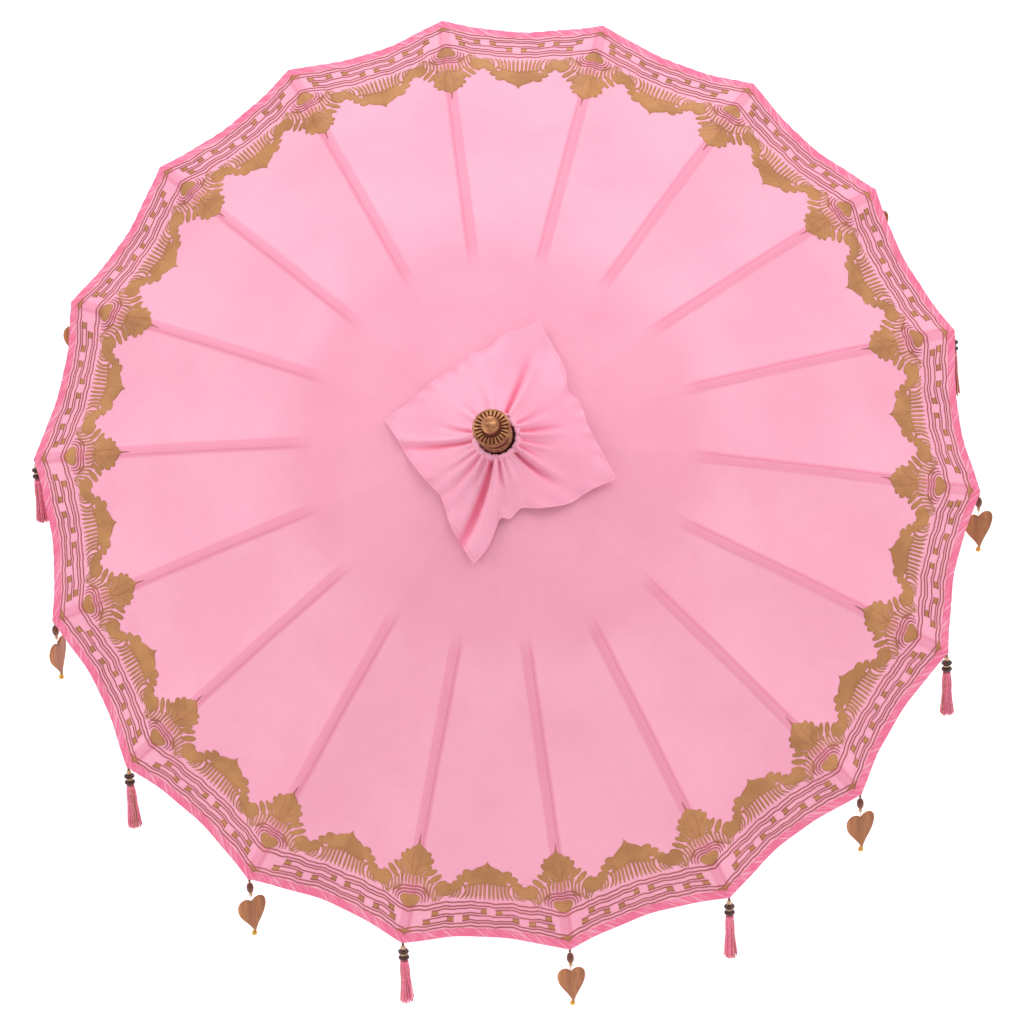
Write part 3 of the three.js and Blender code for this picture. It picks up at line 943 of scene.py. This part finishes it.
def cap_edge(turn):
    """Distance from the pole to the cap's edge: a square pulled out of true, with hollows along its sides."""
    off = from_corner(turn + radians(4.4) * np.cos(turn - radians(35)))
    side = CAP_HALF / np.cos(pi / 4 - np.abs(off))
    pull = 0.012 + 0.0225 * np.cos(turn - CAP_CORNER) - 0.0325 * np.cos(turn - CAP_CORNER - radians(97))
    side = side * (1 + pull + 0.0325 * np.cos(2 * (turn - CAP_CORNER)))
    for direction, width, depth in EDGE_NOTCHES:
        away = (np.degrees(turn) - direction + 180) % 360 - 180
        side = side - depth * np.exp(-(away / width) ** 2)
    return side - 0.0012 * np.sin(13 * turn) * np.sin(2 * np.abs(off))


def dome_height(radius):
    sine = sin(HUB_SLOPE) + (radius - HINGE_RADIUS) / ARC_RADIUS
    return ARC_Z + ARC_RADIUS * np.sqrt(1 - sine ** 2) + CLOTH_ABOVE + 0.001


CAP_FOLDS = (  # direction in degrees, length on the cloth, depth, half width at the neck, widening and bend
    (65, 0.130, 0.0150, 0.0050, 0.055, 0.02), (258, 0.200, 0.0230, 0.0040, 0.070, -0.10),
    (187, 0.175, 0.0120, 0.0040, 0.040, -0.08), (-43, 0.100, 0.0130, 0.0045, 0.060, 0.06),
    (9, 0.085, 0.0095, 0.0045, 0.045, -0.01), (228, 0.095, 0.0080, 0.0045, 0.060, -0.04),
    (-12, 0.060, 0.0075, 0.0035, 0.045, 0.08), (167, 0.070, 0.0070, 0.0040, 0.050, -0.07),
    (104, 0.055, 0.0060, 0.0050, 0.060, 0.03), (272, 0.045, 0.0075, 0.0030, 0.050, 0.03),
    (30, 0.075, 0.0050, 0.0050, 0.070, -0.07), (130, 0.045, 0.0035, 0.0045, 0.060, 0.08),
    (-27, 0.045, 0.0070, 0.0030, 0.040, -0.04), (212, 0.085, 0.0060, 0.0040, 0.060, -0.02),
    (241, 0.050, 0.0060, 0.0030, 0.045, 0.07))


def cap_folds(turn, radius):
    """Creases that run out from the neck, each with a rounded ridge along one side."""
    out = np.zeros_like(radius)
    for n, (direction, reach, depth, width, widening, bend) in enumerate(CAP_FOLDS):
        off = (turn - radians(direction) - bend * (radius - COLLAR) / 0.1 + pi) % (2 * pi) - pi
        spread = width + widening * (radius - COLLAR)
        across = radius * np.sin(off) / spread * (1 if n % 2 else -1)
        across = np.where(np.cos(off) < 0, 9.0, across)
        along = (radius - COLLAR) / reach
        fade = np.exp(-along ** 2 * 1.1) * soft_step((1.35 - along) / 0.5)
        out += depth * fade * (0.85 * np.exp(-(across - 1.5) ** 2 / 1.1) - np.exp(-across ** 2 * 1.3))
    return out


def cap_point(turn, out):
    """out runs from 0 at the collar to 1 at the edge."""
    edge = cap_edge(turn)
    radius = COLLAR + (edge - COLLAR) * out
    fade = np.exp(-(radius - COLLAR) / 0.030)
    gathers = 0.0026 * fade * (np.sin(19 * turn + 0.5 + 1.1 * np.sin(2 * turn)) + 0.6 * np.sin(31 * turn + 2))
    far = soft_step((radius - 0.08) / 0.09)
    folds = far * (0.0040 * np.sin(3 * turn + 2.6) + 0.0028 * np.sin(7 * turn + 1.0 + 9 * radius))
    frill = 0.0024 * np.sin(29 * turn + 2 * np.sin(3 * turn)) + 0.0030 * np.sin(11 * turn)
    frill = soft_step((out - 0.75) / 0.25) * frill
    rise = 0.015 * np.exp(-(radius - COLLAR) / 0.012) + 0.009 * np.exp(-(radius - COLLAR) / 0.045)
    dome = dome_height(np.maximum(radius, 0.06))
    height = dome + CAP_LOFT + rise + gathers + folds + frill + cap_folds(turn, radius)
    floor = dome + crown_rise(radius) + CAP_GAP
    return polar(radius, turn, floor + 0.003 * np.log1p(np.exp((height - floor) / 0.003)))


def cap_normal(turn, out):
    small = 2e-3
    a = cap_point(turn + small, out) - cap_point(turn - small, out)
    b = cap_point(turn, out + small) - cap_point(turn, out - small)
    normal = np.cross(b, a)
    normal = np.where(normal[:, 2:] < 0, -normal, normal)
    return normal / np.linalg.norm(normal, axis=1, keepdims=True)


def add_cap():
    """Eighteen gores that read as one square of cloth."""
    outs = np.concatenate([
        np.linspace(0, 0.35, 20), np.linspace(0.35, 0.92, 24)[1:], np.linspace(0.92, 1, 5)[1:]])
    for i in range(RIBS):
        turns = rib_turn(i) + np.radians(np.linspace(-10, 10, 49))
        turn, out = np.meshgrid(turns, outs)
        turn, out = turn.ravel(), out.ravel()
        points, normals = cap_point(turn, out), cap_normal(turn, out)
        off, radius = from_corner(turn), np.linalg.norm(points[:, :2], axis=1)
        from_edge = (cap_edge(turn) - radius) * np.cos(pi / 4 - np.abs(off))
        uv = np.stack([radius * np.sin(off), from_edge], -1)
        thickness = CLOTH + 0.0012 * soft_step((0.0105 - from_edge) / 0.002)
        # relief holds how deep each crease is, for the painted shade in the cap cloth
        gore = thick_sheet(
            f"cap_gore_{label(i)}", points, normals, len(outs), len(turns), thickness, "cap_cloth", uv,
            outward=True, relief=np.clip(-cap_folds(turn, radius) / 0.011, 0, 1))
        near, far = (to_world(polar(r, rib_turn(i), 0.02))[0] for r in (0.050, 0.125))
        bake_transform(gore)
        if i == 0:
            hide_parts("top_cap")
    add_collar()


def add_collar():
    """A band of the same cloth, gathered round the neck, open at the top."""
    profile = smooth_profile([
        (0.0500, 0.022), (0.0484, 0.030), (0.0476, 0.037), (0.0482, 0.044), (0.0474, 0.0495), (0.0448, 0.0530),
        (0.0414, 0.0542), (0.0386, 0.0532), (0.0368, 0.0505), (0.0362, 0.0450)], 4)
    turns = np.linspace(0, 2 * pi, 181)[:-1]
    turn, row = np.meshgrid(turns, np.arange(len(profile)))
    radius, height = profile[row.ravel(), 0], profile[row.ravel(), 1]
    turn = turn.ravel()
    crease = 0.0010 * np.sin(38 * turn + 60 * height + 1.4 * np.sin(5 * turn)) + 0.0008 * np.sin(17 * turn + 1)
    points = polar(radius + crease, turn, height + 0.0008 * np.sin(6 * turn + 1) * (height > 0.03))
    slope = np.gradient(profile, axis=0)
    slope /= np.linalg.norm(slope, axis=1, keepdims=True)
    normals = polar(slope[row.ravel(), 1], turn, -slope[row.ravel(), 0])
    uv = np.stack([turn * COLLAR, 0.3 + height], -1)
    band = thick_sheet(
        "cap_collar", points, normals, len(profile), len(turns), COLLAR_CLOTH, "cap_cloth", uv, closed=True)
    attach(band, "root")
    cord = []
    for wind, h in enumerate((0.0335, 0.0358)):
        path = polar(0.0486 + 0.0006 * np.sin(19 * turns), turns, h + 0.0008 * np.sin(3 * turns + wind))
        cord.append(tube(np.vstack([path, path[:1]]), 0.0011, 6))
    points, faces, uv = together(cord)
    tie = make("collar_tie", to_world(points), faces, "pink_thread", uv=uv)
    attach(tie, "root")


# ---- Finial ----

FINIAL_TILT = radians(-3.0)  # it isn't screwed on quite straight


def add_finial():
    """Turned and gilded: a bell foot, a fluted disc like an open flower, and a knob."""
    profile = [  # radius and height, in millimetres
        (0.5, 24.6), (30, 24.8), (34, 30), (34.5, 36), (32.5, 41), (32, 45), (34, 51), (34, 58), (29, 66),
        (21, 73), (15, 79), (13, 83), (17, 86), (17.5, 89), (14.5, 93), (19, 98), (27, 106), (32.5, 117),
        (35, 128), (36, 134), (34.8, 137), (36.6, 140), (37.6, 143.5), (36.6, 147), (33.5, 149), (31, 149.2),
        (28, 150.6), (22, 151.2), (18.8, 150.2), (17.2, 150.6), (17.4, 153.5), (14, 156.5), (11.5, 160),
        (12.5, 165), (15.6, 170.5), (17.2, 177), (16.6, 184), (13, 190), (7, 194.5), (3.5, 197), (0.6, 198)]
    smooth = smooth_profile(profile, 3) / 1000
    smooth[:, 0] = np.maximum(smooth[:, 0], 0.0004)
    segments, flutes = 288, 24
    turns = np.arange(segments) * 2 * pi / segments
    rings, relief = [], []
    for radius, height in smooth:
        top = soft_step((height - 0.1485) / 0.0008) * soft_step((radius - 0.0185) / 0.002)
        top = float(top * soft_step((0.0335 - radius) / 0.0015))
        wave = np.abs(np.cos(flutes / 2 * turns))
        drop = top * 0.0026 * (1 - wave) ** 1.5
        rings.append(polar(radius, turns, height - drop))
        relief.append(np.clip(1.15 * (wave - 0.28) * top + (1 - top) * finial_gloss(height), 0, 1))
    points, faces = np.concatenate(rings), capped(len(smooth), segments)
    tilt = Matrix.Rotation(FINIAL_TILT, 3, "Y")
    base = np.array([0, 0, 0.0245])
    points = (points - base) @ np.array(tilt).T + base
    points[:, 2] = np.maximum(points[:, 2], 0.0243)
    finial = make("gilded_finial", to_world(points), faces, "antique_gilt", relief=np.concatenate(relief))
    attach(finial, "root")
    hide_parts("finial")


def finial_gloss(height):
    """Worn gold on the knob and on the swells of the stem, dark lacquer in the necks."""
    if height > 0.163:
        return 0.95
    if 0.137 < height < 0.1495 or 0.084 < height < 0.091:
        return 0.52
    if 0.048 < height < 0.068 or 0.100 < height < 0.137:
        return 0.45
    return 0.1


# ---- Pendants ----

def pendant_anchor(i):
    """Where the thread of pendant i is tied, just past the rib's end."""
    past = 0.006
    step = polar(past * cos(TIP_SLOPE), rib_turn(i), -past * sin(TIP_SLOPE))[0]
    return to_world(rib_point(i, TIP_SLOPE) + step)[0]


def heart_yaw(i):
    return radians(62) if i == 13 else radians(14) * sin(1.9 * i)


def mm(points):
    return np.asarray(points, float) / 1000


SKEINS = 3  # different tassels


def yarn_mesh(seed):
    """Strands that hang from a knot, spread a little and end unevenly, with a bound neck."""
    draw = random.Random(seed)
    strands, kinds = [], []
    for k in range(84):
        ring = sqrt((k + 0.5) / 84)
        turn = k * 2.39996 + draw.uniform(-0.2, 0.2)
        top, bottom = 6.8 * ring, 15.0 * ring + draw.uniform(-0.8, 0.8)
        end = -147 + 5 * ring * ring + draw.uniform(0, 5)
        sway, twist = draw.uniform(-1.0, 1.0), draw.uniform(-0.25, 0.25)
        path = []
        for t in np.linspace(0, 1, 12):
            spread = top + (bottom - top) * t ** 1.3 + 1.6 * ring * sin(pi * min(1, t * 2.2)) * (t < 0.45)
            angle = turn + twist * t + 0.05 * sin(9 * t + k)
            x, y = spread * cos(angle) + sway * t * t, spread * sin(angle) + 0.5 * sin(7 * t + k) * t
            path.append((x, y, -42 + (end + 42) * t))
        strands.append(tube(mm(path), 0.00098, 5))
        kinds += [int(k % 9 == 5)] * len(strands[-1][1])
    for wind in range(5):
        turns = np.linspace(0, 2 * pi, 25)
        strands.append(tube(mm(polar(7.9, turns, -46.5 - 1.5 * wind)), 0.0008, 6))
        kinds += [0] * len(strands[-1][1])
    return together(strands), kinds


def bead_profile(radius, low, high, power):
    """A turned bead from low to high, about the thread."""
    hole, middle, half = 1.2, (low + high) / 2, (high - low) / 2
    out = [(hole, low + 0.2)]
    for t in np.linspace(-pi / 2, pi / 2, 13):
        out.append((hole + 0.2 + (radius - hole - 0.2) * cos(t) ** power, middle + half * sin(t)))
    return mm(out + [(hole, high - 0.2)])


def place_pendant(kind, parts, material, i, cache, strands=None):
    """A piece of pendant i. Every piece of a kind shares its mesh; only its place and turn differ."""
    name = f"{kind}_{label(i)}"
    key = kind if strands is None else kind + str(i % SKEINS)
    materials = material if isinstance(material, tuple) else (material,)
    if key not in cache:
        points, faces, uv = together(parts)
        thing = make(name, points, faces, materials, uv=uv)
        cache[key] = thing.data
        if strands:
            thing.data.polygons.foreach_set("material_index", strands)
    else:
        thing = put(name, cache[key])
    thing.location = Vector(pendant_anchor(i).tolist())
    thing.rotation_euler.z = heart_yaw(i) if i % 2 else 0.7 * i
    return thing


def thread(top, bottom):
    wobble = 0.35
    steps = np.linspace(0, 1, 9)
    path = [(wobble * sin(5 * t), wobble * cos(4 * t) - wobble, top + (bottom - top) * t) for t in steps]
    return tube(mm(path), 0.00075, 7)


def heart_mesh():
    """A flat wooden heart with rounded edges, its point a little to one side."""
    half = [
        (0, -64), (4, -59.5), (11, -56.5), (19, -57), (26, -61.5), (29.6, -69), (29.5, -78), (26, -89),
        (20, -99), (13, -108.5), (6.5, -118), (2.4, -126), (1.5, -130.5)]
    outline = smooth_profile(half + [(-x, z) for x, z in reversed(half[1:])] + [half[0]], 4)[:-1]
    point, middle, taller, slant = -131, -80.0, 1.12, 0.26
    outline[:, 1] = point + taller * (outline[:, 1] - point)
    outline[:, 1] += slant * outline[:, 0] * np.clip((outline[:, 1] - point) / 50, 0, 1)
    outline[:, 0] += 2.5 * np.clip((-100 - outline[:, 1]) / 30, 0, 1)
    centre = np.array([0.0, middle])
    rings = []
    edge = [(0.62, 2.5), (0.80, 2.5), (0.92, 2.42), (0.975, 1.9), (1.0, 0.9)]
    for inset, y in edge + [(inset, -y) for inset, y in reversed(edge)]:
        flat = centre + (outline - centre) * inset
        cup = 0.9 * ((flat[:, 0] / 30) ** 2)
        rings.append(np.stack([flat[:, 0], y + cup - 0.4, flat[:, 1]], -1))
    count = len(outline)
    points = np.concatenate(rings)
    faces = grid_faces(len(rings), count, closed=True)
    front, back = len(points), len(points) + 1
    points = np.vstack([points, (0, 2.1, middle), (0, -2.9, middle)])
    last = (len(rings) - 1) * count
    for c in range(count):
        d = (c + 1) % count
        faces.append((front, d, c))
        faces.append((back, last + c, last + d))
    return mm(points), faces


def bell_mesh():
    """A small round bell with a groove round its middle."""
    profile = smooth_profile([
        (0.6, -125.8), (2.4, -126.2), (3.2, -127.4), (4.8, -129.5), (5.6, -132), (5.8, -134), (4.6, -136.2),
        (2.2, -137.3), (0.5, -137.6)], 3)
    groove = [(r * (0.93 if abs(z + 132.8) < 0.5 else 1), z) for r, z in profile]
    return lathe(mm(groove[::-1]), 32)


def beads(segments, *sizes):
    """Turned beads, each given by its radius, its top and bottom below the rib and how square it is."""
    return [lathe(bead_profile(radius, low, high, power), segments) for radius, low, high, power in sizes]


def add_pendants():
    """A pendant at the end of each rib, hearts and tassels in turn, and the tie that it hangs from."""
    ovals = beads(36, (7.6, -34.0, -11.0, 0.9)) + beads(20, (2.6, -9.0, -2.5, 1.0))
    hearts = (
        ("wooden_heart", [heart_mesh()], "heart_wood"),
        ("heart_dark_bead", ovals, "heart_bead"),
        ("heart_pale_beads", beads(32, (4.4, -43.0, -34.4, 1.0)), "bead_glass"),
        ("heart_thread", [thread(0, -57)], "thread"),
        ("heart_bell", [bell_mesh()], "brass"))
    discs = beads(40, (11.3, -41.0, -32.6, 0.5), (11.3, -26.6, -18.6, 0.5)) + beads(20, (2.6, -8.0, -2.0, 1.0))
    tassels = (
        ("tassel_dark_beads", discs, "bead_wood"),
        ("tassel_pale_beads", beads(32, (7.0, -32.6, -26.6, 0.8), (5.6, -18.4, -8.2, 1.0)), "bead_glass"),
        ("tassel_thread", [thread(0, -46)], "thread"))
    skeins = [yarn_mesh(seed) for seed in range(SKEINS)]
    cache = {}
    for i in range(RIBS):
        if i % 2:
            body = f"heart_pendant_{label(i)}"
            pieces = [place_pendant(*row, i, cache) for row in hearts]
        else:
            body = f"tassel_pendant_{label(i)}"
            skein, strands = skeins[i % SKEINS]
            pieces = [place_pendant("tassel_yarn", [skein], ("tassel_yarn", "thread"), i, cache, strands)]
            pieces += [place_pendant(*row, i, cache) for row in tassels]
        for thing in pieces:
            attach(thing, body)
        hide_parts(body)
        add_rib_tie(i)


def add_rib_tie(i):
    """Thread wound round the end of the rib, with the loop that the pendant hangs from."""
    turn = rib_turn(i)
    out = np.array([cos(turn), sin(turn), 0])
    way = out * cos(TIP_SLOPE) - np.array([0, 0, sin(TIP_SLOPE)])
    side = rib_side(i)
    up = np.cross(side, way)
    tip = rib_point(i, TIP_SLOPE)
    parts = []
    for wind in range(4):
        loop = []
        for t in np.linspace(0, 2 * pi, 17):
            rounded = 0.35 + 0.65 / max(abs(cos(t)), abs(sin(t)))
            round_rib = (side * 0.0074 * cos(t) + up * 0.0089 * sin(t)) * rounded
            loop.append(tip - way * (0.0035 + 0.0016 * wind) + round_rib)
        parts.append(tube(loop, 0.0009, 6))
    ring = [tip + way * (0.0030 + 0.0044 * cos(t)) + up * 0.0044 * sin(t) for t in np.linspace(0, 2 * pi, 21)]
    parts.append(tube(ring, 0.0008, 6))
    points, faces, uv = together(parts)
    tie = make(f"rib_tie_{label(i)}", to_world(points), faces, "pink_thread", uv=uv)
    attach(tie, f"rib_{label(i)}")


# ---- Frame hardware ----

def add_hardware():
    turns = np.linspace(0, 2 * pi, 145)
    for name, body, height in (("crown_wire", "root", 0.0), ("runner_wire", "runner", -RUNNER_DROP)):
        points, faces, uv = tube(polar(HINGE_RADIUS, turns, height), 0.0011, 8)
        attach(make(name, to_world(points), faces, "iron", uv=uv), body)
    for i in range(RIBS):
        pivot = rib_point(i, PIVOT_SLOPE)
        ends = [pivot + rib_side(i) * s for s in (-0.0076, -0.0070, 0.0070, 0.0076)]
        points, faces, uv = tube(ends, [0.0016, 0.0020, 0.0020, 0.0016], 12)
        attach(make(f"rib_pin_{label(i)}", to_world(points), faces, "brass", uv=uv), f"rib_{label(i)}")
    add_ferrule()
    add_lock_pin()


def add_ferrule():
    """Brass sleeve over the joint between the two lengths of the pole, open at both ends."""
    sleeve = smooth_profile([
        (19.2, 900), (20.6, 901.5), (20.9, 906), (20.2, 911), (20.2, 989), (20.9, 994), (20.6, 998.5),
        (19.2, 1000)], 3)
    count = 64
    points, faces = lathe(mm(sleeve), count)
    faces = faces[:-2]
    last = len(points) - count
    for c in range(count):
        d = (c + 1) % count
        faces.append((last + c, last + d, d, c))
    ring = make("pole_ferrule", to_world(points, height=0), faces, "brass", uv=np.zeros((len(points), 2)))
    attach(ring, "root")


def add_lock_pin():
    """A turned peg through the runner's skirt, which holds it up on the pole."""
    height = -RUNNER_DROP - 0.062
    profile = smooth_profile([
        (0.5, -46), (2.6, -45), (3.0, -42), (3.0, 36), (3.6, 37), (6.5, 40), (7.5, 45), (5.5, 50), (3.2, 52),
        (4.0, 55), (0.6, 57)], 3)
    points, faces = lathe(mm(profile), 24)
    points = points[:, [2, 0, 1]] + (0, 0, height)
    uv = np.zeros((len(points), 2))
    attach(make("lock_peg", to_world(points), faces, "brass", uv=uv), "runner")


def finish_cad_nodes():
    """The turned and split wooden parts keep their CAD shape and get their real finish."""
    looks = {"pole": "pole_wood", "crown": "hub_wood", "runner": "hub_wood"}
    for name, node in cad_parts.items():
        key = looks.get(name) or ("rib_wood" if name.startswith(("rib_", "stretcher_")) else None)
        if key:
            for place in range(len(node.material_slots)):
                node.material_slots[place].material = MATERIALS[key]


# ---- Stage ----

def add_stage():
    floor_level = cad_low[2] - 0.002
    white = Nodes("studio_white", roughness=0.9, Emission_Color=(1, 1, 1, 1))
    depth = white.add("SeparateXYZ", Vector=white.coordinates("Object")).outputs[1]
    # painted light: the floor emits light of its own, which keeps it white and lights the parasol from below
    near_edge, far_edge, glow_strength = -3.4, -1.5, 0.36  # the floor glows a little behind the parasol's foot
    glow = white.times(white.between(depth, near_edge, far_edge), glow_strength)
    white.link(glow, white.shader.inputs["Emission Strength"])
    uneven = white.between(white.noise(white.coordinates("Object"), 0.6, 2.0), 0.3, 0.7)
    pale = white.mixed(uneven, (0.93, 0.93, 0.93, 1), (0.90, 0.90, 0.905, 1))
    white.finish(white.mixed(white.between(depth, near_edge, far_edge), (0.80, 0.80, 0.80, 1), pale))
    rings = (0.01, 1.5, 4.0, 9.0, 20.0, 60.0)
    turns = np.linspace(0, 2 * pi, 65)[:-1]
    points = np.concatenate([polar(r, turns, floor_level) for r in rings])
    faces = grid_faces(len(rings), len(turns), closed=True) + [tuple(range(len(turns)))[::-1]]
    mesh = bpy.data.meshes.new("floor")
    mesh.from_pydata(points.tolist(), [], faces)
    mesh.materials.append(white.material)
    put("floor", mesh)


def add_light(name, place, target, size, power):
    lamp = bpy.data.lights.new(name, "AREA")
    lamp.shape, lamp.size, lamp.energy = "DISK", size, power
    thing = put(name, lamp)
    thing.location = place
    thing.rotation_euler = (Vector(target) - Vector(place)).to_track_quat("-Z", "Y").to_euler()
    thing.visible_camera = False


def add_lights():
    world = bpy.data.worlds.new("studio")
    bpy.context.scene.world = world
    world.use_nodes = True
    sky = world.node_tree.nodes["Background"].inputs
    sky["Color"].default_value = (1, 1, 1, 1)
    sky["Strength"].default_value = 0.73
    head = to_world([(0, 0, -0.1)])[0]
    add_light("key", (1.2, -4.2, 6.0), head, 2.8, 74)
    add_light("left_fill", (-5.0, -3.7, 5.0), head, 3.0, 112)
    add_light("right_fill", (5.2, -3.2, 5.2), head, 3.0, 88)
    add_light("floor_wash", (0, 3.5, 6.5), (0, 4.5, 0), 5.0, 190)
    add_light("near_floor_wash", (0, -1.2, 0.55), (0, -1.9, 0), 1.6, 3)


add_camera()
add_canopy()
add_cap()
add_finial()
add_pendants()
add_hardware()
finish_cad_nodes()
add_stage()
add_lights()
bpy.context.scene.view_settings.view_transform = "Standard"
